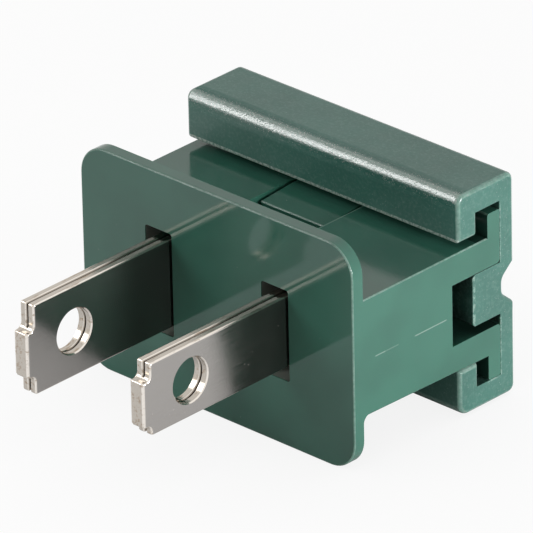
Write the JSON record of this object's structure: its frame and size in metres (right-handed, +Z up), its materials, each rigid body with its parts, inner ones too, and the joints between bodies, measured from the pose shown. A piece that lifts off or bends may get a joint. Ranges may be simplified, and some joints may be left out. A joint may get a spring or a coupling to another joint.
{
  "type": "slide-on two-blade plug for flat lamp cord",
  "caption": "Rewirable flat-blade plug: a moulded body with a seating flange, folded metal blades and a slide-on rear cover that presses flat cord onto piercing prongs.",
  "frame": {"origin": "centre of the flange's front face, the face that seats against the socket", "axes": "+X across the plug from the wide blade to the narrow one, and the way the cover slides off; -Y out along the blades; +Z up, as the plug stands in the picture"},
  "size_m": [0.0296, 0.0351, 0.0198],
  "materials": {
    "body_plastic": "moulded green thermoplastic, glossy flange face",
    "cover_plastic": "moulded green thermoplastic, fine satin grain",
    "plated_metal": "nickel-plated folded brass strip"
  },
  "bodies": {
    "plug": {"body": "body_plastic", "neutral_blade": "plated_metal", "line_blade": "plated_metal"},
    "cover": {"slide_cover": "cover_plastic"}
  },
  "joints": [
    {"name": "cover_slide", "type": "slide", "parent": "plug", "child": "cover", "axis": [1, 0, 0], "range_m": [0, 0.031]}
  ]
}
